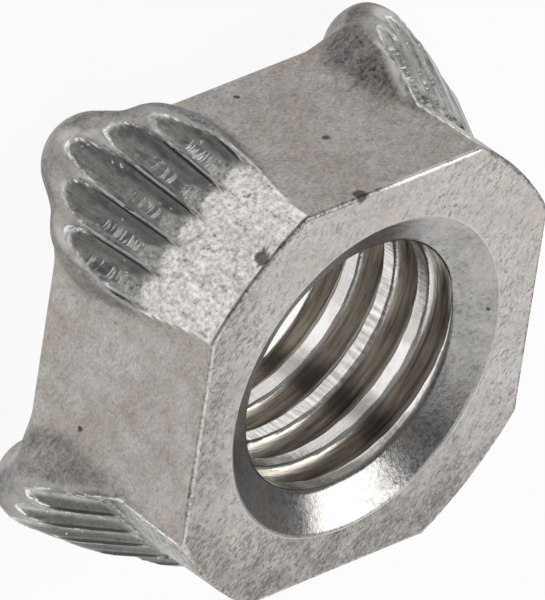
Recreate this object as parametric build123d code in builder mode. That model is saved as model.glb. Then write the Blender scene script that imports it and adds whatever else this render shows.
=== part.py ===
from build123d import *
import math
import os

# Square weld nut: a cold-formed square body with a threaded bore and four
# corner lugs. A fluted punch shears each corner downwards and outwards, and
# the metal that it moves becomes a rounded weld lug, which stands proud of
# the weld-side face. The nut rests on its four lugs, with its front face up.
# The bore is plain, at the thread's minor diameter.
# Lengths are in millimetres and angles in degrees.

# Driving dimensions: body
across_flats = 14.0
body_height = 7.0
blank_corner_radius = 1.2
front_edge_radius = 0.12
weld_edge_radius = 0.3

# Driving dimensions: bore, sized for an M10 coarse thread
minor_diameter = 8.5
countersink_diameter = 10.95
countersink_angle = 120.0

# Driving dimensions: punched facet and flutes
facet_setback = 2.1
facet_depth = 2.65
facet_radius = 11.5
ridge_slope = 26.6
flute_slope = 25.0
flute_count = 5
flute_pitch = 1.07
flute_radius = 0.68
flute_depth = 0.26

# Driving dimensions: lobes, the swollen corners that carry the lugs. A lobe
# is widest at its waist, and narrows to its heel on the weld-side face and
# to its crown near the kink.
lobe_overhang = 0.1
lobe_width = 6.2
lobe_end_width = 0.8
lobe_blend_radius = 0.9
lobe_waist_height = 1.8
lobe_crown_height = 5.2
lobe_heel_inset = 0.6
lobe_crown_inset = 0.65

# Driving dimensions: weld lugs
lug_projection = 1.5
lug_radius = 2.07
lug_nose_length = 3.1
lug_tip_radius = 1.65
lug_tilt = 24.0
lug_inset = 1.6

# Levels above the surface that the lugs stand on
weld_face_z = lug_projection
front_face_z = weld_face_z + body_height
kink_z = front_face_z - facet_depth

# Places along a corner's diagonal, measured from the bore's axis
corner_reach = across_flats / math.sqrt(2)
facet_reach = corner_reach - facet_setback
punch_axis_reach = facet_reach - facet_radius
lobe_reach = corner_reach + lobe_overhang
lobe_corner_radius = (lobe_width - lobe_end_width) / 2
lug_axis_reach = corner_reach - lug_inset

corners = 4
corner_angle = 45.0
outward = Vector(1, 0, 0).rotate(Axis.Z, corner_angle)
upward = Vector(0, 0, 1)


def diagonal_point(reach, level):
    """Point on, above or below the first corner's diagonal."""
    return outward * reach + upward * level


# One lug, a bullet shape whose axis leans outwards in the diagonal's plane.
# Its nose tapers from the shank to a ball tip. The plane's origin is the
# centre of the nose's base, and its y axis runs up the lug.
tip_offset = lug_nose_length - lug_tip_radius
nose_taper = math.acos(lug_tip_radius / math.hypot(lug_radius, tip_offset)) - math.atan2(
    tip_offset, lug_radius
)
taper_angle = math.degrees(nose_taper)
lean = math.radians(lug_tilt)
lug_up = upward * math.cos(lean) - outward * math.sin(lean)
lug_across = upward * math.sin(lean) + outward * math.cos(lean)
nose_z = lug_tip_radius + tip_offset * math.cos(lean)
nose_reach = lug_axis_reach + (weld_face_z - nose_z) * math.tan(lean)
lug_plane = Plane(
    origin=diagonal_point(nose_reach, nose_z),
    x_dir=lug_across,
    z_dir=lug_across.cross(lug_up),
)
lug_shank = (kink_z - nose_z) / math.cos(lean)

with BuildPart() as lug:
    with BuildSketch(lug_plane):
        with BuildLine():
            tip = CenterArc((0, -tip_offset), lug_tip_radius, 270, 90 - taper_angle)
            Polyline(tip @ 1, (lug_radius, 0), (lug_radius, lug_shank), (0, lug_shank), tip @ 0)
        make_face()
    revolve(axis=Axis(lug_plane.origin, lug_up))

# The punch, as the space that it sweeps from the standing surface to above
# the front face. Its side is a cylinder above the kink and a cone below it,
# and ribs on the cone press the flutes. The ribs end at the kink, and stay
# outside the cylinder.
punch_height = front_face_z + facet_depth
cone_reach = facet_radius + kink_z * math.tan(math.radians(ridge_slope))
punch_reach = cone_reach + lug_radius
flute_angle = math.degrees(flute_pitch / facet_radius)
fan_angle = (flute_count - 1) * flute_angle
rib_lean = math.radians(flute_slope)
rib_reach = facet_radius + (flute_radius - flute_depth) / math.cos(rib_lean)
rib_length = 2 * front_face_z / math.cos(rib_lean)
punch_foot = diagonal_point(punch_axis_reach, 0)
punch_kink = diagonal_point(punch_axis_reach, kink_z)

with BuildPart() as punch:
    with Locations(Plane(origin=punch_kink, x_dir=outward, z_dir=upward)):
        with PolarLocations(rib_reach, flute_count, -fan_angle / 2, fan_angle, endpoint=True):
            Cylinder(flute_radius, rib_length, rotation=(0, -flute_slope, 0))
    with BuildSketch(Plane(origin=punch_foot, z_dir=upward)):
        Circle(2 * punch_reach)
        Circle(facet_radius, mode=Mode.SUBTRACT)
    extrude(amount=kink_z, mode=Mode.INTERSECT)
    with BuildSketch(Plane(origin=punch_foot, x_dir=(1, 0, 0), z_dir=(0, -1, 0))):
        with BuildLine():
            Polyline(
                (cone_reach, 0),
                (facet_radius, kink_z),
                (facet_radius, punch_height),
                (punch_reach, punch_height),
                (punch_reach, 0),
                (cone_reach, 0),
            )
        make_face()
    revolve(axis=Axis(punch_foot, upward), revolution_arc=90)

# Both ends of the bore, each as the place where its drill enters
bore_mouths = (
    Location((0, 0, front_face_z)),
    Location((0, 0, weld_face_z), (180, 0, 0)),
)

# Lobes, as two bars crossed on the diagonals and blended into the flats
with BuildPart() as lobes:
    for height, inset in (
        (0, lobe_heel_inset),
        (lobe_waist_height, 0),
        (lobe_crown_height, lobe_crown_inset),
    ):
        with BuildSketch(Plane.XY.offset(weld_face_z + height)) as outline:
            Rectangle(across_flats - 2 * inset, across_flats - 2 * inset)
            for turn in (corner_angle, -corner_angle):
                Rectangle(2 * (lobe_reach - inset), lobe_width - 2 * inset, rotation=turn)
            fillet(outline.vertices().group_by(SortBy.DISTANCE)[-1], lobe_corner_radius - inset)
            fillet(outline.vertices().group_by(SortBy.DISTANCE)[0], lobe_blend_radius + inset)
    loft(ruled=True)

with BuildPart() as weld_nut:
    # Square body
    with BuildSketch(Plane.XY.offset(weld_face_z)):
        RectangleRounded(across_flats, across_flats, blank_corner_radius)
    extrude(amount=body_height)
    fillet(weld_nut.faces().sort_by(Axis.Z)[0].edges(), weld_edge_radius)
    add(lobes.part)

    # Lugs and the punched corners
    with PolarLocations(0, corners):
        add(lug.part)
    with PolarLocations(0, corners):
        add(punch.part, mode=Mode.SUBTRACT)
    fillet(weld_nut.faces().sort_by(Axis.Z)[-1].edges(), front_edge_radius)

    # Bore, countersunk at both ends
    with Locations(*bore_mouths):
        CounterSinkHole(
            radius=minor_diameter / 2,
            counter_sink_radius=countersink_diameter / 2,
            depth=body_height,
            counter_sink_angle=countersink_angle,
        )

os.makedirs("parts", exist_ok=True)
weld_nut.part.label = "weld_nut"
export_step(weld_nut.part, "parts/weld_nut.step")
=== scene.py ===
from types import SimpleNamespace

import bpy
import numpy as np
from bpy.props import FloatProperty, FloatVectorProperty, IntProperty, PointerProperty
from mathutils import Euler, Matrix, Vector


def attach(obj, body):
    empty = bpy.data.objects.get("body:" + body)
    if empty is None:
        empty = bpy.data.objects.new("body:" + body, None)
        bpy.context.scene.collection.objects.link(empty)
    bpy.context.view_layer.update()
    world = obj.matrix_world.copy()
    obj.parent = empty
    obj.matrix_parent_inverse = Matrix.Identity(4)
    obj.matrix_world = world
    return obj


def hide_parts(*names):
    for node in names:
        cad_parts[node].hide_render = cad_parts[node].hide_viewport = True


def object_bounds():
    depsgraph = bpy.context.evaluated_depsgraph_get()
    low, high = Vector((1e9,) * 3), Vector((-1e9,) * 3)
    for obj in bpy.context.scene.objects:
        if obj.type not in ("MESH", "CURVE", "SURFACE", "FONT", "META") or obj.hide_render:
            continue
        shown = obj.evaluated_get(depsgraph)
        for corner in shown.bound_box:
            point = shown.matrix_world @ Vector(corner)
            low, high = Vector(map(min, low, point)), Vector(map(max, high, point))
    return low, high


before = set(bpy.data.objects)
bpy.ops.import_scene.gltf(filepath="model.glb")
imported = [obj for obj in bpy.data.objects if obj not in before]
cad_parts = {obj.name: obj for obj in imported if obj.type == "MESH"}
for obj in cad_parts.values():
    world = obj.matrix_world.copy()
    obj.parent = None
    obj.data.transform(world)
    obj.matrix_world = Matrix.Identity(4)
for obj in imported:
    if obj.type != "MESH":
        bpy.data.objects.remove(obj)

bl_info = {
    "name": "Square weld nut",
    "version": (1, 1, 0),
    "blender": (4, 5, 0),
    "location": "View3D > Sidebar > Weld Nut",
    "description": "Builds a cold-formed square weld nut with fluted corner lugs, and its stage",
    "category": "Add Mesh",
}

MM = 0.001
CAD_BOX = [list(map(float, corner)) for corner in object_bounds()]
TOP_MM = CAD_BOX[1][2] / MM
CORNERS = 4


# ---------------------------------------------------------------- settings


def length(name, description, millimetres):
    """A length that the user can change."""
    return FloatProperty(
        name=name, description=description, default=millimetres * MM, min=0.0,
        subtype="DISTANCE", precision=5,
    )


def share(name, description, default):
    """A part of a whole, a slope or a number of turns that the user can change."""
    return FloatProperty(name=name, description=description, default=default, subtype="FACTOR")


def angle(name, description, degrees):
    """An angle that the user can change."""
    return FloatProperty(
        name=name, description=description, default=np.radians(degrees), subtype="ANGLE"
    )


def colour(name, description, default):
    """A colour that the user can change."""
    return FloatVectorProperty(
        name=name, description=description, subtype="COLOR", default=default, min=0.0, max=1.0
    )


class NutSizes(bpy.types.PropertyGroup):
    """Sizes of the nut's body and punched corners."""

    across_flats: length("Across flats", "Width between two opposite side faces", 14.0)
    body_height: length("Body height", "From the weld-side face to the front face", 7.0)
    blank_radius: length("Blank corner radius", "Rounding of the square blank's corners", 1.2)
    front_edge: length("Front edge radius", "Rounding of the front face's edge", 0.12)
    weld_edge: length("Weld-side edge", "Softness of the weld-side face's edge", 0.3)
    facet_reach: length("Facet reach", "From the bore's axis to the middle of a facet", 7.8)
    facet_depth: length("Facet depth", "From the front face to where the flutes begin", 2.65)
    facet_radius: length("Facet radius", "Radius of the punched facet", 11.5)
    cone_slope: share("Cone slope", "Outward run of the punched cone for each unit of fall", 0.5)
    flute_count: IntProperty(name="Flutes", description="Flutes on each corner", default=5, min=1)
    flute_pitch: length("Flute pitch", "Spacing of the flutes at the facet", 1.07)
    flute_radius: length("Flute radius", "Radius of a flute's round floor", 0.68)
    flute_depth: length("Flute depth", "Depth of a flute where it begins", 0.26)
    flute_lean: angle("Flute lean", "Outward lean of a flute", 25.0)
    shoulder: length("Shoulder", "Width over which the flutes' far edge is rounded", 1.4)
    burr: length("Burr", "Height of the burr round the flutes", 0.09)


class LugSizes(bpy.types.PropertyGroup):
    """Sizes of the swollen corners and of the weld lugs."""

    lobe_reach: length("Lobe reach", "From the bore's axis to a lobe's end", 10.0)
    lobe_width: length("Lobe width", "Width of a lobe across the diagonal", 6.2)
    lobe_round: length("Lobe corner", "Rounding of a lobe's end", 2.7)
    lobe_waist: length("Waist height", "From the weld-side face to a lobe's widest level", 1.8)
    lobe_crown: length("Crown height", "From the weld-side face to where a lobe ends", 5.2)
    heel_inset: length("Heel inset", "How much a lobe narrows down to the weld-side face", 0.6)
    crown_inset: length("Crown inset", "How much a lobe narrows up to its crown", 0.65)
    lobe_blend: length("Lobe blend", "Softness of the join of a lobe and a flat", 0.5)
    lug_radius: length("Lug radius", "Radius of a lug's shank", 2.07)
    nose_length: length("Nose length", "Length of a lug's tapered nose", 3.1)
    tip_radius: length("Tip radius", "Radius of a lug's ball tip", 1.65)
    lug_reach: length("Lug reach", "From the bore's axis to a lug's, at the weld-side face", 8.3)
    lug_tilt: angle("Lug tilt", "Outward lean of a lug", 24.0)
    lug_blend: length("Lug blend", "Softness of the join of a lug and a lobe", 0.5)


class BoreSizes(bpy.types.PropertyGroup):
    """Sizes of the threaded bore."""

    minor_radius: length("Minor radius", "Radius of the bore at the crests", 4.25)
    depth: length("Thread depth", "From a crest to the bottom of the groove", 0.72)
    pitch: length("Pitch", "Rise of the thread for each turn", 1.5)
    crest_share: share("Crest share", "Flat crest as a share of the pitch", 0.33)
    flank_share: share("Flank share", "One flank as a share of the pitch", 0.25)
    phase: share("Phase", "Turns by which the thread is wound on", 0.45)
    fade_from: share("Fade from", "Turns along the thread where its groove begins to fade", -2.05)
    fade_to: share("Fade to", "Turns along the thread where its groove has gone", -1.72)
    sink_radius: length("Countersink radius", "Radius of the countersink's rim", 5.475)
    sink_slope: share(
        "Countersink slope", "Radius that it gains for each unit of height", np.sqrt(3.0)
    )


class SteelLook(bpy.types.PropertyGroup):
    """Colours of the bare steel's several finishes, and of its painted highlights and shade."""

    front: colour("Front face", "Fine-pitted front face", (0.49, 0.465, 0.44))
    side_cool: colour("Side", "Grey of the side faces", (0.52, 0.5, 0.48))
    side_warm: colour("Stained side", "Brownish stain on the side faces", (0.45, 0.405, 0.365))
    fresh_and_lit: colour("Fresh steel", "Frosted, freshly sheared facets and burrs", (0.78, 0.755, 0.71))
    burnished: colour("Burnished steel", "Smooth walls of the flutes", (0.56, 0.545, 0.515))
    # Also the colour of painted highlights along the ridges and on the bore's crests
    shine: colour("Shine", "Colour of the most polished steel", (0.98, 0.97, 0.95))
    crest: colour("Crest", "Thread crests and countersinks", (0.74, 0.72, 0.69))
    groove: colour("Groove", "Oily thread grooves", (0.4, 0.365, 0.325))
    # Also the colour of painted shade in the flutes and of a painted dark reflection in the bore
    dirt_and_shade: colour("Dirt", "Specks and creases", (0.05, 0.045, 0.04))


class WeldNutSettings(bpy.types.PropertyGroup):
    """Everything that the nut is built from."""

    nut: PointerProperty(type=NutSizes)
    lug: PointerProperty(type=LugSizes)
    bore: PointerProperty(type=BoreSizes)
    look: PointerProperty(type=SteelLook)


def fields(group):
    """Names of the group's own settings."""
    return [key for key in group.bl_rna.properties.keys() if key not in ("rna_type", "name")]


def in_millimetres(group):
    """The group's values, with its lengths in millimetres."""
    values = {}
    for key in fields(group):
        is_length = group.bl_rna.properties[key].subtype == "DISTANCE"
        values[key] = getattr(group, key) / (MM if is_length else 1.0)
    return SimpleNamespace(**values)


# ---------------------------------------------------------------- surfaces


# Rounding of edges that look sharp, and how wide a burr is
CRISP_MM = 0.02
BURR_WIDTH_MM = 0.13

# The grid's rays run out from a spine, a circle this far outside the countersink's
# rim. At the second number's level the side ends and the underside begins.
SPINE_GAP_MM = 0.22
SIDE_END_MM = 2.6

# The grid's parts, in the order in which its rows run. A ring of the weld-side
# face, which needs no name, comes last.
WALL, FRONT, EDGE, SIDE, UNDER = range(5)
WALL_ROWS, FRONT_ROWS, EDGE_ROWS, FACET_ROWS, FLUTE_ROWS, UNDER_ROWS = 112, 8, 4, 16, 64, 44
RING_ROWS = 2


def soft_min(a, b, width):
    """Smaller of two distances, with the corner between them rounded over the width."""
    part = np.clip(0.5 + 0.5 * (b - a) / width, 0.0, 1.0)
    return b + (a - b) * part - width * part * (1.0 - part)


def soft_max(a, b, width):
    """Larger of two distances, with the corner between them rounded over the width."""
    return -soft_min(-a, -b, width)


def ramp(value, low, high):
    """Rises smoothly from 0 at low to 1 at high."""
    part = np.clip((value - low) / (high - low), 0.0, 1.0)
    return part * part * (3.0 - 2.0 * part)


def ragged(run, pitch):
    """Uneven wave along a run, from -1 to 1: three sines with no common measure."""
    turn = 2.0 * np.pi * run / pitch
    return (np.sin(turn) + np.sin(1.618 * turn + 2.0) + np.sin(2.414 * turn + 4.0)) / 3.0


def weld_level(nut):
    """Height of the weld-side face."""
    return TOP_MM - nut.body_height


def kink_level(nut):
    """Height at which the facets end and the flutes begin."""
    return TOP_MM - nut.facet_depth


def on_diagonal(x, y):
    """Distance along and across the nearest corner's diagonal."""
    along = (np.abs(x) + np.abs(y)) / np.sqrt(2.0)
    across = (np.abs(y) - np.abs(x)) / np.sqrt(2.0)
    return along, across


def punch_place(x, y, nut):
    """Radius and angle about the axis of the nearest corner's punch."""
    along, across = on_diagonal(x, y)
    inward = nut.facet_reach - nut.facet_radius
    return np.hypot(along - inward, across), np.arctan2(across, along - inward)


def nearest_flute(turned, nut):
    """Number of the nearest flute, and the angle from its middle."""
    step = nut.flute_pitch / nut.facet_radius
    last = nut.flute_count - 1
    number = np.clip(np.round(turned / step + 0.5 * last), 0, last)
    return number, turned - step * (number - 0.5 * last)


def punched_distances(x, y, z, nut):
    """Distances outside the punch's plain side and outside its flutes, below 0 in the steel.

    Above the kink the plain side is a cylinder, and below it a cone, whose radius
    grows by the cone's slope for each unit of fall. Each flute is a round bar,
    whose axis leans outwards as it falls, kept outside the cylinder.
    """
    radius, turned = punch_place(x, y, nut)
    fall = kink_level(nut) - z
    cone = nut.facet_radius + nut.cone_slope * np.maximum(fall, 0.0)
    delta = nearest_flute(turned, nut)[1]
    lean = nut.flute_lean
    reach = nut.facet_radius + (nut.flute_radius - nut.flute_depth) / np.cos(lean)
    out = (radius * np.cos(delta) - reach) * np.cos(lean) - fall * np.sin(lean)
    bar = nut.flute_radius - np.hypot(out, radius * np.sin(delta))
    return radius - cone, np.minimum(bar, radius - nut.facet_radius)


def lobe_distance(along, across, z, nut, lug):
    """Distance outside a swollen corner, below 0 in the steel.

    Each level's outline is a bar along the diagonal with rounded ends. The outline
    is inset by a power of the height above the waist or of the depth below it.
    """
    up = z - weld_level(nut)
    rise = np.clip((up - lug.lobe_waist) / (lug.lobe_crown - lug.lobe_waist), 0.0, 2.0)
    sink = np.clip((lug.lobe_waist - up) / lug.lobe_waist, 0.0, 2.0)
    inset = lug.crown_inset * rise**1.6 + lug.heel_inset * sink**2
    bend = np.maximum(lug.lobe_round - inset, 0.3)
    over_end = along - (lug.lobe_reach - inset - bend)
    over_side = np.abs(across) - (0.5 * lug.lobe_width - inset - bend)
    outside = np.hypot(np.maximum(over_end, 0.0), np.maximum(over_side, 0.0))
    lobe = outside + np.minimum(np.maximum(over_end, over_side), 0.0) - bend
    return soft_max(lobe, -up, 2.0 * nut.weld_edge)


def lug_distance(along, across, z, nut, lug):
    """Distance outside a weld lug, below 0 in the steel.

    The lug is a round bar whose axis leans outwards. Its nose is a cone that runs
    from the bar to a ball, which it touches all round.
    """
    lean = lug.lug_tilt
    offset = lug.nose_length - lug.tip_radius
    taper = np.arccos(lug.tip_radius / np.hypot(lug.lug_radius, offset)) - np.arctan2(
        offset, lug.lug_radius
    )
    base_z = lug.tip_radius + offset * np.cos(lean)
    base_along = lug.lug_reach + (weld_level(nut) - base_z) * np.tan(lean)
    up = (z - base_z) * np.cos(lean) - (along - base_along) * np.sin(lean)
    aside = (z - base_z) * np.sin(lean) + (along - base_along) * np.cos(lean)
    girth = np.hypot(aside, across)
    bar = girth - lug.lug_radius
    cone = bar * np.cos(taper) - up * np.sin(taper)
    ball = np.hypot(girth, up + offset) - lug.tip_radius
    touch = -offset - lug.tip_radius * np.sin(taper)
    return np.where(up > 0.0, bar, np.where(up > touch, cone, ball))


def square_distance(x, y, nut):
    """Distance outside the square blank's rounded outline, below 0 in the steel."""
    core = 0.5 * nut.across_flats - nut.blank_radius
    over_x = np.abs(x) - core
    over_y = np.abs(y) - core
    outside = np.hypot(np.maximum(over_x, 0.0), np.maximum(over_y, 0.0))
    return outside + np.minimum(np.maximum(over_x, over_y), 0.0) - nut.blank_radius


def unpunched_distance(x, y, z, nut, lug):
    """Distance outside the nut as it is before its corners are punched."""
    blank = soft_max(square_distance(x, y, nut), weld_level(nut) - z, nut.weld_edge)
    along, across = on_diagonal(x, y)
    steel = soft_min(blank, lobe_distance(along, across, z, nut, lug), lug.lobe_blend)
    return soft_min(steel, lug_distance(along, across, z, nut, lug), lug.lug_blend)


def shouldered_distance(x, y, z, nut, lug):
    """Distance outside the nut as it is without its flutes, below 0 in the steel.

    The unpunched steel is cut back to the punch's plain side. Their edge is sharp
    at the facets, and becomes a rounded shoulder further down. Beside the cut the
    steel stands out by a burr, whose height falls off as a bell curve and varies
    along the rim.
    """
    plain, fluted = punched_distances(x, y, z, nut)
    fall = kink_level(nut) - z
    height = nut.burr * (0.25 + 0.75 * ramp(fall, 0.0, 1.0))
    height = height * (0.6 + 0.4 * ragged(z + 0.6 * np.abs(x), 0.9))
    burr = height * np.exp(-((np.maximum(plain, fluted) / BURR_WIDTH_MM) ** 2))
    whole = unpunched_distance(x, y, z, nut, lug) - burr
    return soft_max(whole, plain, CRISP_MM + nut.shoulder * ramp(fall, 0.6, 3.0))


def nut_distance(x, y, z, nut, lug):
    """Distance outside the nut, below 0 in the steel."""
    fluted = punched_distances(x, y, z, nut)[1]
    return soft_max(shouldered_distance(x, y, z, nut, lug), fluted, CRISP_MM)


def column_rays(nut, per_flute, spare, per_flat):
    """Points on, and level directions of, the grid's columns.

    Round each corner the columns run out from the punch's axis, with every ridge
    on a column and spare columns beside the last ridges. Along each flat they step
    from corner to corner, closer together near both, while their direction turns
    in step from one corner's last ray to the next one's first.
    """
    inward = nut.facet_reach - nut.facet_radius
    half_flat = 0.5 * nut.across_flats
    each = nut.flute_pitch / nut.facet_radius / per_flute
    half = per_flute * nut.flute_count // 2 + spare
    turned = each * np.arange(-half, half + 1)
    heading = np.pi / 4 + turned
    corner = np.stack([
        np.full(len(turned), inward / np.sqrt(2.0)),
        np.full(len(turned), inward / np.sqrt(2.0)),
        np.cos(heading),
        np.sin(heading),
    ])
    start = corner[:2, -1]
    first = start[0] + (half_flat - start[1]) * np.cos(heading[-1]) / np.sin(heading[-1])
    step = np.linspace(0.0, 1.0, per_flat + 2)[1:-1]
    step = step - 0.8 * np.sin(2.0 * np.pi * step) / (2.0 * np.pi)
    turn = heading[-1] + (np.pi - 2.0 * heading[-1]) * step
    flat = np.stack([
        first * (1.0 - 2.0 * step), np.full(per_flat, half_flat), np.cos(turn), np.sin(turn)
    ])
    quarter = np.concatenate([corner, flat], axis=1)
    quarters = []
    for k in range(CORNERS):
        c, s = np.cos(k * np.pi / 2), np.sin(k * np.pi / 2)
        spin = np.array([[c, -s], [s, c]])
        quarters.append(np.concatenate([spin @ quarter[:2], spin @ quarter[2:]]))
    return np.concatenate(quarters, axis=1)


def reach_out(start, heading, nut, lug, far):
    """How far each ray runs from its start inside the steel to the nut's surface."""
    near = np.zeros(np.broadcast_shapes(start[0].shape, heading[0].shape))
    far = np.full(near.shape, far)
    for _ in range(20):
        middle = 0.5 * (near + far)
        x, y, z = (s + h * middle for s, h in zip(start, heading))
        steel = nut_distance(x, y, z, nut, lug) < 0.0
        near = np.where(steel, middle, near)
        far = np.where(steel, far, middle)
    return 0.5 * (near + far)


def bore_radius(bearing, z, nut, bore):
    """Radius of the bore: a helical thread, opened by a cone at each end.

    Along the axis, each pitch of the thread has a flat crest, a flank, a narrow
    groove and a second flank, and the pattern climbs one pitch for each turn. The
    groove ends below the front face, where it fades out over part of a turn. Also
    gives the groove's depth, from 0 to 1, and how far the cone is wider than the
    thread.
    """
    turn = (z - TOP_MM) / bore.pitch - bearing / (2.0 * np.pi) - bore.phase
    part = turn - np.floor(turn)
    flank = bore.flank_share
    straight = np.clip((part - bore.crest_share) / flank, 0.0, 1.0) - np.clip(
        (part - 1.0 + flank) / flank, 0.0, 1.0
    )
    curved = ramp(part, bore.crest_share, bore.crest_share + flank) - ramp(part, 1.0 - flank, 1.0)
    climbed = np.floor(turn) + bearing / (2.0 * np.pi)
    groove = (0.7 * straight + 0.3 * curved) * (1.0 - ramp(climbed, bore.fade_from, bore.fade_to))
    helix = bore.minor_radius + bore.depth * groove
    front_cone = bore.sink_radius - (TOP_MM - z) * bore.sink_slope
    rear_cone = bore.sink_radius - (z - weld_level(nut)) * bore.sink_slope
    cone = np.maximum(front_cone, rear_cone)
    return np.maximum(helix, cone), groove, cone - helix


def nut_surface(nut, lug, bore):
    """The whole skin of the nut as one grid, closed both ways like a tyre.

    The first parameter runs round the nut in columns. The second runs round the
    section: up the bore, across the front face, over its edge, down the side,
    under the lug and back across the weld-side face.
    """
    rays = column_rays(nut, per_flute=12, spare=3, per_flat=32)
    px, py, dx, dy = (part[:, None] for part in rays)
    weld = weld_level(nut)
    spine = bore.sink_radius + SPINE_GAP_MM
    toward = px * dx + py * dy
    back = toward - np.sqrt(toward**2 - (px**2 + py**2 - spine**2))
    sx, sy = px - dx * back, py - dy * back
    bearing = np.arctan2(sy, sx)

    up = np.linspace(0.0, 1.0, WALL_ROWS)[None, :]
    bore_z = weld + nut.body_height * up
    radius, groove, sunk = bore_radius(bearing, bore_z, nut, bore)
    wall = [radius * np.cos(bearing), radius * np.sin(bearing), bore_z + 0.0 * bearing]

    rim_z, kink = TOP_MM - nut.front_edge, kink_level(nut)
    side_z = np.concatenate([
        np.linspace(rim_z, kink, FACET_ROWS, endpoint=False),
        np.linspace(kink, SIDE_END_MM, FLUTE_ROWS),
    ])[None, :]
    run = reach_out([sx, sy, side_z], [dx, dy, 0.0], nut, lug, far=7.0)
    side = [sx + dx * run, sy + dy * run, side_z + 0.0 * run]

    bend = np.linspace(0.0, 0.5 * np.pi, EDGE_ROWS + 1)[None, :-1]
    edge_run = run[:, :1] - nut.front_edge * (1.0 - np.sin(bend))
    edge_z = TOP_MM - nut.front_edge * (1.0 - np.cos(bend))
    edge = [sx + dx * edge_run, sy + dy * edge_run, edge_z + 0.0 * edge_run]

    across = 0.5 - 0.5 * np.cos(np.pi * np.linspace(0.0, 1.0, FRONT_ROWS + 2)[None, 1:-1])
    front = [wall[k][:, -1:] * (1.0 - across) + edge[k][:, :1] * across for k in range(2)]
    front.append(TOP_MM + 0.0 * across * bearing)

    dip = -0.5 * np.pi * np.linspace(0.0, 1.0, UNDER_ROWS + 1)[None, 1:]
    heading = [dx * np.cos(dip), dy * np.cos(dip), np.sin(dip)]
    drop = reach_out([sx, sy, SIDE_END_MM + 0.0 * sx], heading, nut, lug, far=8.0)
    under = [c + h * drop for c, h in zip((sx, sy, SIDE_END_MM), heading)]

    inner = np.linspace(0.0, 1.0, RING_ROWS + 2)[None, 1:-1]
    ring = [under[k][:, -1:] * (1.0 - inner) + wall[k][:, :1] * inner for k in range(2)]
    ring.append(weld + 0.0 * inner * bearing)

    parts = (wall, front, edge, side, under, ring)
    points = np.stack([np.concatenate([part[k] for part in parts], axis=1) for k in range(3)], -1)
    row_part = np.repeat(np.arange(len(parts)), [part[0].shape[1] for part in parts])
    return points, row_part, groove, sunk


def surface_marks(points, row_part, groove, sunk, nut, lug):
    """Values that tell the finishes apart, one for each point of the grid.

    Beyond is how far outside the facet's cylinder a punched point lies, and rim is
    how far a point lies from the border of the punched surface, both in
    millimetres. Swell is how far it stands outside the square blank. Flute is a
    number that no other flute has. The place across a flute is kept as a cosine
    and a sine, which have no jump, and both start at a ridge. Thread is the
    groove's depth, from 0 to 1, and sink is 1 on the countersinks.
    """
    x, y, z = (points[..., k] for k in range(3))
    one = np.ones_like(x)
    radius, turned = punch_place(x, y, nut)
    plain, fluted = punched_distances(x, y, z, nut)
    punched = np.maximum(plain, fluted)
    shouldered = shouldered_distance(x, y, z, nut, lug)
    outer = np.isin(row_part, (SIDE, UNDER))[None, :]
    cut = outer * ramp(punched, -0.07, -0.02)
    beyond = np.clip(radius - nut.facet_radius, 0.0, 4.0)
    side_rim = -np.minimum(plain, unpunched_distance(x, y, z, nut, lug))
    tip_rim = -np.minimum(fluted, shouldered) + 1.0 - ramp(beyond, 0.4, 0.8)
    number, delta = nearest_flute(turned, nut)
    corner = 7.0 * (x > 0.0) + 13.0 * (y > 0.0)
    phase = 2.0 * np.pi * (delta * nut.facet_radius / nut.flute_pitch + 0.5)
    thread, sink = np.zeros_like(x), np.zeros_like(x)
    thread[:, :WALL_ROWS] = np.where(sunk > 0.0, 0.0, groove)
    sink[:, :WALL_ROWS] = ramp(sunk, -0.01, 0.02)
    return {
        "front": (row_part == FRONT)[None, :] * one,
        "edge": (row_part == EDGE)[None, :] * one,
        "bore": (row_part == WALL)[None, :] * one,
        "punched": cut,
        "beyond": cut * beyond,
        "rim": np.clip(np.minimum(side_rim, tip_rim), 0.0, 2.0),
        "swell": np.clip(square_distance(x, y, nut), 0.0, 3.0),
        "flute": number + corner,
        "flute_cos": np.cos(phase),
        "flute_sin": np.sin(phase),
        "thread": thread,
        "sink": sink,
    }


def closed_grid(name, points, marks):
    """A mesh from a grid that closes on itself both ways, with a mark per point."""
    columns, rows = points.shape[:2]
    index = np.arange(columns * rows).reshape(columns, rows)
    right = np.roll(index, -1, axis=0)
    quads = np.stack([index, right, np.roll(right, -1, axis=1), np.roll(index, -1, axis=1)], -1)
    quads = quads.reshape(-1, 4)[:, ::-1]
    mesh = bpy.data.meshes.new(name)
    mesh.vertices.add(columns * rows)
    mesh.vertices.foreach_set("co", (points * MM).astype(np.float32).ravel())
    mesh.loops.add(quads.size)
    mesh.loops.foreach_set("vertex_index", quads.astype(np.int32).ravel())
    mesh.polygons.add(len(quads))
    mesh.polygons.foreach_set("loop_start", np.arange(0, quads.size, 4, dtype=np.int32))
    mesh.polygons.foreach_set("use_smooth", np.ones(len(quads), dtype=bool))
    mesh.update(calc_edges=True)
    for mark, values in marks.items():
        layer = mesh.attributes.new(mark, "FLOAT", "POINT")
        layer.data.foreach_set("value", values.astype(np.float32).ravel())
    if mesh.validate():
        raise RuntimeError(f"{name} had faulty faces")
    return mesh


# ---------------------------------------------------------------- materials


# Dents: the place and the size of each, in millimetres
DENTS_MM = (
    (-5.1, 5.9, 8.2, 0.3),
    (-1.4, 7.0, 8.4, 0.3),
    (-2.8, 7.0, 4.7, 0.12),
    (-0.1, 7.0, 5.5, 0.15),
    (-0.9, 7.0, 2.4, 0.12),
    (-7.0, -2.1, 3.7, 0.12),
    (-7.0, -2.8, 3.5, 0.12),
    (5.2, 0.6, 8.3, 0.1),
)

# Bearings in the bore, in radians: a painted dark reflection and a painted highlight
DARK_REFLECTION_BEARING, HIGHLIGHT_BEARING = -0.93, -0.56

# Level in metres of the crest that has the most chatter
CHATTER_LEVEL = 4.7 * MM

# Step between the noises of two flutes, so that no two look alike
FLUTE_STEP = 7.3


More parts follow.
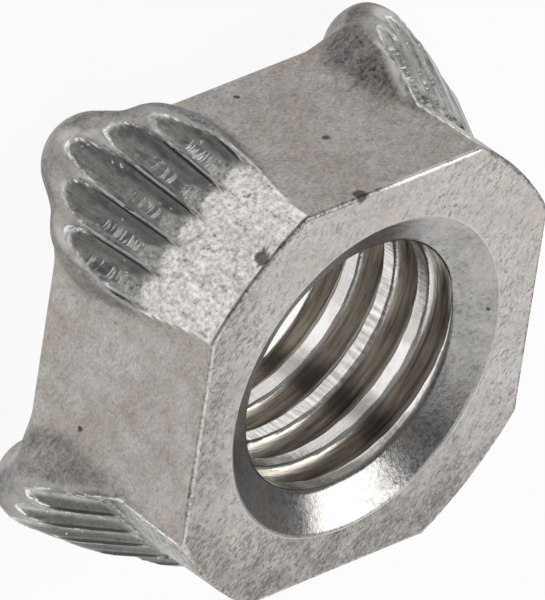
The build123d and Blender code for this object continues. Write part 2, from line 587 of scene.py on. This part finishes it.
class Socket:
    """A shader value that Python's operators turn into Math nodes."""

    def __init__(self, tree, output=None):
        self.tree = tree
        self.output = output

    def wrap(self, output):
        return Socket(self.tree, output)

    def feed(self, socket, value):
        """Links a wrapped value to the socket, or sets a plain one on it."""
        if isinstance(value, Socket):
            self.tree.links.new(value.output, socket)
        elif socket.type == "RGBA":
            socket.default_value = (*value[:3], 1.0)
        else:
            socket.default_value = value

    def node(self, kind, settings=None, **values):
        """Adds a node of the kind, sets its settings, and feeds the named sockets."""
        node = self.tree.nodes.new(kind)
        for key, value in (settings or {}).items():
            setattr(node, key, value)
        for key, value in values.items():
            name = key.replace("_", " ")
            self.feed(next(s for s in node.inputs if s.enabled and s.name == name), value)
        return node

    def math(self, operation, *values, clamp=False):
        node = self.node("ShaderNodeMath", {"operation": operation, "use_clamp": clamp})
        for socket, value in zip(node.inputs, values):
            self.feed(socket, value)
        return self.wrap(node.outputs[0])

    def measure(self, operation, first, second):
        """A number worked out from two vectors, such as their distance."""
        node = self.node("ShaderNodeVectorMath", {"operation": operation})
        self.feed(node.inputs[0], first)
        self.feed(node.inputs[1], second)
        return self.wrap(node.outputs["Value"])

    def __add__(self, other):
        return self.math("ADD", self, other)

    def __radd__(self, other):
        return self.math("ADD", other, self)

    def __sub__(self, other):
        return self.math("SUBTRACT", self, other)

    def __rsub__(self, other):
        return self.math("SUBTRACT", other, self)

    def __mul__(self, other):
        return self.math("MULTIPLY", self, other)

    def __rmul__(self, other):
        return self.math("MULTIPLY", other, self)

    def __neg__(self):
        return self.math("MULTIPLY", self, -1.0)

    def clamp(self):
        return self.math("ADD", self, 0.0, clamp=True)

    def over(self, low, high):
        """Rises smoothly from 0 where the value is low to 1 where it is high."""
        node = self.node(
            "ShaderNodeMapRange", {"interpolation_type": "SMOOTHSTEP"},
            Value=self, From_Min=low, From_Max=high,
        )
        return self.wrap(node.outputs["Result"])

    def under(self, high, low):
        """Rises smoothly from 0 where the value is high to 1 where it is low."""
        return 1.0 - self.over(low, high)

    def attribute(self, name):
        node = self.node("ShaderNodeAttribute", {"attribute_name": name})
        return self.wrap(node.outputs["Fac"])

    def vector(self, x, y, z):
        return self.wrap(self.node("ShaderNodeCombineXYZ", None, X=x, Y=y, Z=z).outputs[0])

    def noise(self, place, scale, detail=2.0, roughness=0.5, distortion=0.0):
        node = self.node(
            "ShaderNodeTexNoise", None, Vector=place, Scale=scale, Detail=detail,
            Roughness=roughness, Distortion=distortion,
        )
        return self.wrap(node.outputs["Fac"])

    def stretched(self, place, stretch, turn=(0.0, 0.0, 0.0)):
        """The place, scaled along each axis and turned."""
        node = self.node(
            "ShaderNodeMapping", {"vector_type": "TEXTURE"}, Vector=place, Rotation=turn,
            Scale=tuple(1.0 / part for part in stretch),
        )
        return self.wrap(node.outputs["Vector"])

    def tint(self, first, second, part):
        """The first colour, mixed towards the second by the part."""
        node = self.node("ShaderNodeMix", {"data_type": "RGBA"}, Factor=part, A=first, B=second)
        return self.wrap(next(s for s in node.outputs if s.enabled))

    def shade(self, tone, level):
        """The colour times a level that varies over the surface."""
        tone = tone if isinstance(tone, Socket) else tuple(tone[:3])
        node = self.node("ShaderNodeVectorMath", {"operation": "SCALE"}, Vector=tone, Scale=level)
        return self.wrap(node.outputs[0])


def front_finish(look, at):
    """Satin face with slanted pits: its colour, roughness and relief."""
    grain = at.noise(at.place, 7000.0, 3.0, 0.7)
    slant = at.stretched(at.place, (3800.0, 8000.0, 9000.0), (0.0, 0.0, np.radians(48.0)))
    # The foot is the lower and left part of the face: the pits are denser there, and painted shade
    # darkens it
    foot = at.y.under(-2.0 * MM, -6.8 * MM) + 0.6 * at.x.under(-4.5 * MM, -6.5 * MM)
    pits = at.noise(slant, 1.0, 3.0, 0.6, 1.2) + 0.35 * (at.cloud - 0.5) + 0.06 * foot
    pits = pits.over(0.55, 0.7)
    level = 0.96 + 0.5 * (at.cloud - 0.5) + 1.1 * (grain - 0.5) + 0.6 * (at.blotch - 0.5)
    tone = at.shade(look.front, level - 0.36 * foot)
    tone = at.tint(tone, look.side_warm, 0.5 * at.blotch.over(0.48, 0.64))
    tone = at.tint(tone, look.dirt_and_shade, 0.5 * pits)
    lip = at.math("ABSOLUTE", at.radius - at.sink_edge).under(0.045 * MM, 0.015 * MM)
    tone = at.tint(tone, look.dirt_and_shade, 0.6 * lip * at.cloud.over(0.4, 0.55))
    return tone, 0.46 + 0.2 * (grain - 0.5), 0.6 * grain - 0.7 * pits


def side_finish(look, at):
    """Mottled side with brownish stain: its colour, roughness and relief."""
    patches = at.noise(at.place, 2600.0, 4.0, 0.75)
    grain = at.noise(at.place, 9000.0, 3.0, 0.7)
    scuffs = at.noise(at.stretched(at.place, (2200.0, 2200.0, 8000.0), (0.5, 0.4, 0.0)), 1.0, 3.0)
    swell = at.attribute("swell")
    root = swell.over(0.0, 0.25) * (1.0 - 0.15 * swell.over(0.45, 1.1))
    stain = (0.5 * at.cloud + 0.5 * at.blotch).over(0.42, 0.58)
    level = 0.92 + 1.1 * (patches - 0.5) + 1.1 * (grain - 0.5) + 0.5 * (scuffs - 0.5)
    # Painted light: the flat at -X is made lighter and the flat at +Y darker
    low, high = at.flat - 1.0 * MM, at.flat - 0.1 * MM
    level = level + 0.1 * at.x.under(-low, -high) - 0.1 * at.y.over(low, high)
    tone = at.shade(at.tint(look.side_cool, look.side_warm, stain), level - 0.42 * root)
    specks = patches.over(0.66, 0.74)
    tone = at.tint(tone, look.dirt_and_shade, 0.5 * specks)
    relief = 0.6 * patches + 0.7 * grain + 0.5 * scuffs - 0.5 * specks
    return tone, 0.5 + 0.2 * (patches - 0.5), relief


def facet_finish(look, at):
    """Frosted, freshly sheared facet: its colour, roughness and relief."""
    frost = at.noise(at.place, 6000.0, 3.0, 0.7)
    drag = at.noise(at.stretched(at.place, (6500.0, 6500.0, 900.0)), 1.0, 3.0, 0.6)
    # Painted light: the facets of the corner at -X, +Y are made lighter than the other corners'
    fresh_and_lit = at.x.under(0.0, -3.0 * MM) * at.y.over(0.0, 3.0 * MM)
    level = 0.5 + 0.36 * fresh_and_lit + 2.0 * (frost - 0.5) + 0.6 * (drag - 0.5)
    tone = at.shade(look.fresh_and_lit, level + 0.5 * (at.blotch - 0.5))
    pits = (frost - 0.3 * (at.blotch - 0.5)).under(0.38, 0.3)
    tone = at.tint(tone, look.dirt_and_shade, 0.4 * pits)
    return tone, 0.38 + 0.3 * (drag - 0.5), 1.5 * frost + 0.6 * drag


def flute_finish(look, at):
    """Burnished flutes with chatter near the facet, painted shade on one flank and in a crease
    beside each ridge, and a painted highlight along each ridge.

    The noises wind round each flute's own circle, so that they have no seam.
    """
    beyond, number = at.attribute("beyond"), at.attribute("flute")
    sine, cosine = at.attribute("flute_sin"), at.attribute("flute_cos")

    def wound(round_scale, long_scale, detail, rough):
        down = at.height * long_scale + number * FLUTE_STEP
        place = at.vector(sine * round_scale, cosine * round_scale, down)
        return at.noise(place, 1.0, detail, rough)

    along = wound(0.6, 1400.0, 3.0, 0.6)
    steps = wound(0.25, 9000.0, 1.0, 0.5)
    streaks = wound(4.5, 800.0, 3.0, 0.65)
    grain = at.noise(at.place, 8000.0, 3.0, 0.65)
    stripe = (sine * 0.77 - cosine * 0.64 + 0.6 * (along - 0.5)).over(0.3, 0.7)
    fade = (beyond + 1.4 * (along - 0.5)).under(0.95, 0.5)
    chatter = steps.over(0.48, 0.58) * stripe * fade
    # Painted shade: the lit flank of each flute is painted darker, to tone down its bright
    # reflection
    lit = at.turn.over(0.0, 0.04) * at.turn.under(0.46, 0.2)
    level = 0.92 - 0.26 * lit + 1.4 * (along - 0.5) + 1.0 * (streaks - 0.5) + 0.8 * (grain - 0.5)
    tone = at.shade(look.burnished, level)
    frosted = (beyond + 0.4 * (grain - 0.5)).under(0.5, 0.15) * at.turn.over(0.0, 0.1)
    tone = at.tint(tone, look.fresh_and_lit, 0.6 * frosted)
    # Painted shade on the flank behind each ridge
    shaded = at.behind.over(0.02, 0.12) * at.behind.under(0.46, 0.2)
    tone = at.tint(tone, look.dirt_and_shade, 0.62 * shaded)
    sooty = along.over(0.52, 0.64) * beyond.over(0.5, 0.9)
    tone = at.tint(tone, look.dirt_and_shade, 0.5 * sooty)
    tone = at.tint(tone, look.dirt_and_shade, 0.35 * stripe * fade)
    tone = at.tint(tone, look.shine, 0.9 * chatter)
    # Painted shade: a dark line in the crease behind each ridge
    crease_shade = at.behind.over(0.0, 0.02) * at.behind.under(0.1, 0.06)
    tone = at.tint(tone, look.dirt_and_shade, 0.92 * crease_shade)
    # Painted highlight: a bright line along each ridge
    glint = at.turn.over(0.0, 0.02) * at.turn.under(0.07, 0.045) * along.over(0.4, 0.5)
    tone = at.tint(tone, look.shine, 0.8 * glint)
    beads = at.noise(at.place, 4000.0, 1.0).over(0.72, 0.75)
    tone = at.tint(tone, look.shine, 0.8 * beads)
    relief = 1.0 * chatter + 0.35 * along - 0.8 * crease_shade + 0.5 * glint + 0.8 * beads + 0.3 * grain
    return tone, 0.34 + 0.12 * (along - 0.5), relief


def bore_finish(look, at):
    """Bright crests with chatter, a painted highlight and a painted dark reflection, oily grooves,
    and polished countersinks.
    """
    bearing = at.math("ARCTAN2", at.y, at.x)
    thread, sink = at.attribute("thread"), at.attribute("sink")
    coiled = at.height - bearing * (at.pitch / (2.0 * np.pi))
    lines = at.noise(at.vector(bearing * 2.0, coiled * 15000.0, 0.0), 1.0, 3.0, 0.75)
    chatter = at.noise(at.vector(bearing * 30.0, at.height * 900.0, 0.0), 1.0, 2.0, 0.6)
    smear = at.noise(at.vector(bearing * 3.0, at.height * 700.0, 0.0), 1.0, 3.0)
    speckle = at.noise(at.place, 6500.0, 3.0, 0.65)
    wander = smear - 0.5
    # Painted dark reflection: a darker stripe at one bearing, over crests and grooves
    stripe = at.math("ABSOLUTE", bearing - DARK_REFLECTION_BEARING + 0.3 * wander).under(0.2, 0.02)
    # Painted highlight: smooth crests made brighter at another bearing
    painted_highlight = at.math("ABSOLUTE", bearing - HIGHLIGHT_BEARING + 0.2 * wander).under(0.24, 0.17)
    rough = at.math("ABSOLUTE", at.height - CHATTER_LEVEL).under(0.5 * at.pitch, at.pitch / 3.0)
    rough = at.math("MAXIMUM", rough, 0.5 * smear.over(0.4, 0.6))
    level = 0.98 + 1.8 * (chatter - 0.5) * rough + 0.5 * (lines - 0.5)
    crest = at.shade(look.crest, level)
    crest = at.tint(crest, look.shine, painted_highlight * (1.0 - rough))
    groove = at.shade(look.groove, 1.15 + 3.6 * (lines - 0.5) + 0.8 * (smear - 0.5))
    inside = thread.over(0.03, 0.2)
    tone = at.tint(crest, groove, inside)
    tone = at.tint(tone, look.dirt_and_shade, 0.55 * stripe * (1.0 - 0.8 * rough * (1.0 - inside)))
    polished = at.shade(look.crest, 0.4 + 0.7 * (speckle - 0.5) + 0.4 * (at.blotch - 0.5))
    polished = at.tint(polished, look.side_warm, 0.4 * at.cloud.over(0.4, 0.6))
    polished = at.tint(polished, look.dirt_and_shade, 0.35 * speckle.over(0.58, 0.68))
    tone = at.tint(tone, polished, sink)
    roughness = 0.32 - 0.1 * sink - 0.14 * (1.0 - inside) * (1.0 - sink) + 0.16 * (speckle - 0.5)
    relief = (0.9 * lines * inside + 0.6 * chatter * (1.0 - inside)) * (1.0 - sink) + 0.5 * speckle
    return tone, roughness, relief


def dented(at, tone, relief, look):
    """Adds a few ragged dark dents to the colour and the relief."""
    wobble = at.noise(at.place, 6000.0, 2.0)
    for x, y, z, size in DENTS_MM:
        gap = at.measure("DISTANCE", at.place, (x * MM, y * MM, z * MM))
        gap = gap + (wobble - 0.5) * (0.9 * size * MM)
        dent = gap.under(size * MM, 0.6 * size * MM)
        tone = at.tint(tone, look.dirt_and_shade, 0.85 * dent)
        relief = relief - dent
    return tone, relief


def bare_steel(look, nut, bore):
    """Bare steel with the marks of forming, mixed by the surface's own values."""
    material = bpy.data.materials.new("bare_steel")
    material.use_nodes = True
    tree = material.node_tree
    tree.nodes.clear()
    at = Socket(tree)
    at.place = at.wrap(at.node("ShaderNodeTexCoord").outputs["Object"])
    parts = at.node("ShaderNodeSeparateXYZ", None, Vector=at.place).outputs
    at.x, at.y, at.height = (at.wrap(part) for part in parts)
    at.radius = at.math("SQRT", at.x * at.x + at.y * at.y)
    at.flat = 0.5 * nut.across_flats * MM
    at.sink_edge = bore.sink_radius * MM
    at.pitch = bore.pitch * MM
    at.cloud = at.noise(at.place, 420.0, 3.0, 0.55)
    at.blotch = at.noise(at.place, 1300.0, 4.0, 0.6)
    # Place across a flute, from -0.5 to 0.5, with a ridge at 0
    turn = at.math("ARCTAN2", at.attribute("flute_sin"), at.attribute("flute_cos"))
    at.turn = turn * (0.5 / np.pi)
    at.behind = -at.turn

    rim, beyond, punched = (at.attribute(name) for name in ("rim", "beyond", "punched"))
    fray = at.noise(at.place, 6500.0, 3.0, 0.6)
    sheared = 1.0 - at.behind.over(0.0, 0.08) * at.behind.under(0.5, 0.3)
    fluted = (beyond + 0.3 * (fray - 0.5) * sheared - 0.2 * sheared).over(0.0, 0.2)
    below_front = at.height.under((TOP_MM - 0.05) * MM, (TOP_MM - 0.2) * MM)
    burr = (rim + 0.04 * (fray - 0.5)).under(0.05, 0.02) * below_front
    kink = kink_level(nut)
    below_kink = at.height.under((kink + 0.05) * MM, (kink - 0.45) * MM)
    band = rim.under(0.5, 0.15) * (1.0 - punched) * below_kink

    tone, roughness, relief = side_finish(look, at)
    tone = at.tint(tone, look.fresh_and_lit, band * (0.3 + 0.4 * at.cloud.over(0.5, 0.6)))
    for mask, finish in (
        (at.attribute("front"), front_finish),
        (punched, facet_finish),
        (fluted * punched, flute_finish),
        (at.attribute("bore"), bore_finish),
    ):
        new_tone, new_roughness, new_relief = finish(look, at)
        tone = at.tint(tone, new_tone, mask)
        roughness = roughness + (new_roughness - roughness) * mask
        relief = relief + (new_relief - relief) * mask
    glitter = fray.over(0.35, 0.5) * (0.3 + 0.7 * at.blotch.over(0.47, 0.54))
    tone = at.tint(tone, look.shine, burr * glitter)
    edge = at.attribute("edge")
    # Ragged burr with a painted highlight along the front edge: by the flat at +Y and, fainter,
    # the flat at -X
    low, high = at.flat - 0.6 * MM, at.flat - 0.2 * MM
    stretch = at.x.over(-1.0 * MM, 0.4 * MM) * at.x.under(4.4 * MM, 3.0 * MM)
    burr_and_highlight = at.y.over(low, high) * stretch * fray.over(0.3, 0.45)
    burr_and_highlight = burr_and_highlight + 0.45 * at.x.under(-low, -high) * at.cloud.over(0.4, 0.5)
    tone = at.tint(tone, look.fresh_and_lit, edge * burr_and_highlight)
    tone = at.tint(tone, look.dirt_and_shade, 0.6 * edge * (1.0 - burr_and_highlight) * fray.over(0.46, 0.6))
    relief = relief + 0.5 * (burr + edge * burr_and_highlight) * fray
    tone, relief = dented(at, tone, relief, look)

    bump = at.node("ShaderNodeBump", None, Strength=0.7, Distance=0.02 * MM, Height=relief)
    surface = at.node(
        "ShaderNodeBsdfPrincipled", None, Base_Color=tone, Roughness=roughness.clamp(),
        Metallic=1.0, Normal=at.wrap(bump.outputs["Normal"]),
    )
    output = at.node("ShaderNodeOutputMaterial")
    tree.links.new(surface.outputs["BSDF"], output.inputs["Surface"])
    return material


def pale_floor():
    """A pale floor, white behind the nut and faintly shaded beside it."""
    material = bpy.data.materials.new("pale_floor")
    material.use_nodes = True
    tree = material.node_tree
    tree.nodes.clear()
    at = Socket(tree)
    matte = at.node("ShaderNodeBsdfDiffuse", None, Color=(0.8, 0.8, 0.8))
    white = at.node("ShaderNodeEmission", None, Color=(1.0, 1.0, 1.0), Strength=1.0)
    path = at.node("ShaderNodeLightPath").outputs
    seen = at.wrap(path["Is Camera Ray"])
    for name in ("Is Glossy Ray", "Is Transmission Ray"):
        seen = at.math("MAXIMUM", seen, at.wrap(path[name]))
    mix = at.node("ShaderNodeMixShader", None, Fac=seen * FLOOR_WHITE)
    tree.links.new(matte.outputs[0], mix.inputs[1])
    tree.links.new(white.outputs[0], mix.inputs[2])
    output = at.node("ShaderNodeOutputMaterial")
    tree.links.new(mix.outputs[0], output.inputs["Surface"])
    return material


# ---------------------------------------------------------------- operators


class WELDNUT_OT_nut(bpy.types.Operator):
    """Build the nut's skin with its thread, flutes and lugs"""

    bl_idname = "weldnut.nut"
    bl_label = "Build nut"

    def execute(self, context):
        settings = context.scene.weld_nut
        nut, lug, bore = (
            in_millimetres(group) for group in (settings.nut, settings.lug, settings.bore)
        )
        points, row_part, groove, sunk = nut_surface(nut, lug, bore)
        marks = surface_marks(points, row_part, groove, sunk, nut, lug)
        mesh = closed_grid("steel_nut", points, marks)
        mesh.materials.append(bare_steel(settings.look, nut, bore))
        piece = bpy.data.objects.new("steel_nut", mesh)
        context.scene.collection.objects.link(piece)
        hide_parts("weld_nut")
        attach(piece, "root")
        return {"FINISHED"}


class WELDNUT_OT_stage(bpy.types.Operator):
    """Set the floor, lamp, world and camera"""

    bl_idname = "weldnut.stage"
    bl_label = "Set stage"

    def execute(self, context):
        scene = context.scene
        mesh = bpy.data.meshes.new("floor")
        signs = ((-1, -1), (1, -1), (1, 1), (-1, 1))
        corners = [(FLOOR_REACH * x, FLOOR_REACH * y, 0) for x, y in signs]
        mesh.from_pydata(corners, [], [(0, 1, 2, 3)])
        mesh.materials.append(pale_floor())
        floor = bpy.data.objects.new("floor", mesh)
        scene.collection.objects.link(floor)
        set_world(scene)
        set_lamp(scene)
        set_camera(scene)
        scene.view_settings.view_transform = "Standard"
        return {"FINISHED"}


# The stage. Places and sizes are in metres, and directions are a bearing and an
# elevation. The floor's white is the share of it that shines where it is seen.
FLOOR_REACH = 4.0
FLOOR_WHITE = 0.93
PALE_SIDE_DEGREES = (-75.0, 35.0)
DIM_RADIANCE, PALE_RADIANCE = 0.24, 1.19
LAMP_DEGREES = (26.0, 55.0)
LAMP_AWAY, LAMP_SIZE, LAMP_RADIANCE = 0.4, 0.215, 4.2
LENS_MM = 1395.7
CAMERA_PLACE = (-0.43996, 0.37724, 0.40110)
CAMERA_TURN_DEGREES = (-39.647, -42.780, 10.082)


def direction(bearing, rise):
    """Direction from the nut, by bearing and elevation in degrees."""
    flat, up = np.radians(bearing), np.radians(rise)
    return Vector((np.cos(up) * np.cos(flat), np.cos(up) * np.sin(flat), np.sin(up)))


def set_world(scene):
    """A dim grey room with one broad pale side."""
    world = bpy.data.worlds.new("studio")
    scene.world = world
    world.use_nodes = True
    tree = world.node_tree
    tree.nodes.clear()
    at = Socket(tree)
    toward = at.wrap(at.node("ShaderNodeTexCoord").outputs["Generated"])
    pale = at.measure("DOT_PRODUCT", toward, direction(*PALE_SIDE_DEGREES)).over(0.56, 0.72)
    level = DIM_RADIANCE + (PALE_RADIANCE - DIM_RADIANCE) * pale
    room = at.node("ShaderNodeBackground", None, Color=(1.0, 1.0, 1.0), Strength=level)
    output = at.node("ShaderNodeOutputWorld")
    tree.links.new(room.outputs[0], output.inputs["Surface"])


def set_lamp(scene):
    """One soft box, turned towards the nut."""
    place = LAMP_AWAY * direction(*LAMP_DEGREES)
    lamp = bpy.data.lights.new("key", "AREA")
    lamp.size = LAMP_SIZE
    lamp.energy = LAMP_RADIANCE * np.pi * LAMP_SIZE**2
    holder = bpy.data.objects.new("key", lamp)
    turn = (-place).to_track_quat("-Z", "Y").to_matrix().to_4x4()
    holder.matrix_world = Matrix.Translation(place) @ turn
    scene.collection.objects.link(holder)


def set_camera(scene):
    """A long lens above the front face's side, rolled so that the bore leans."""
    camera = bpy.data.cameras.new("camera")
    holder = bpy.data.objects.new("camera", camera)
    scene.collection.objects.link(holder)
    scene.camera = holder
    camera.sensor_width = 36.0
    camera.lens = LENS_MM
    camera.clip_start = 0.05
    camera.clip_end = 50.0
    turn = Euler(np.radians(CAMERA_TURN_DEGREES), "XYZ").to_matrix().to_4x4()
    holder.matrix_world = Matrix.Translation(CAMERA_PLACE) @ turn


# ---------------------------------------------------------------- add-on


class WELDNUT_PT_panel(bpy.types.Panel):
    """Lists the nut's sizes, its colours and the steps that build it"""

    bl_idname = "WELDNUT_PT_panel"
    bl_label = "Weld Nut"
    bl_space_type = "VIEW_3D"
    bl_region_type = "UI"
    bl_category = "Weld Nut"

    def draw(self, context):
        settings = context.scene.weld_nut
        for group in (settings.nut, settings.lug, settings.bore, settings.look):
            box = self.layout.box()
            for key in fields(group):
                box.prop(group, key)
        self.layout.operator(WELDNUT_OT_nut.bl_idname)
        self.layout.operator(WELDNUT_OT_stage.bl_idname)


CLASSES = (
    NutSizes,
    LugSizes,
    BoreSizes,
    SteelLook,
    WeldNutSettings,
    WELDNUT_OT_nut,
    WELDNUT_OT_stage,
    WELDNUT_PT_panel,
)


def register():
    for item in CLASSES:
        bpy.utils.register_class(item)
    bpy.types.Scene.weld_nut = PointerProperty(type=WeldNutSettings)


def unregister():
    del bpy.types.Scene.weld_nut
    for item in reversed(CLASSES):
        bpy.utils.unregister_class(item)


def main():
    """Builds the nut and its stage."""
    register()
    bpy.ops.weldnut.nut()
    bpy.ops.weldnut.stage()


if __name__ == "__main__":
    main()
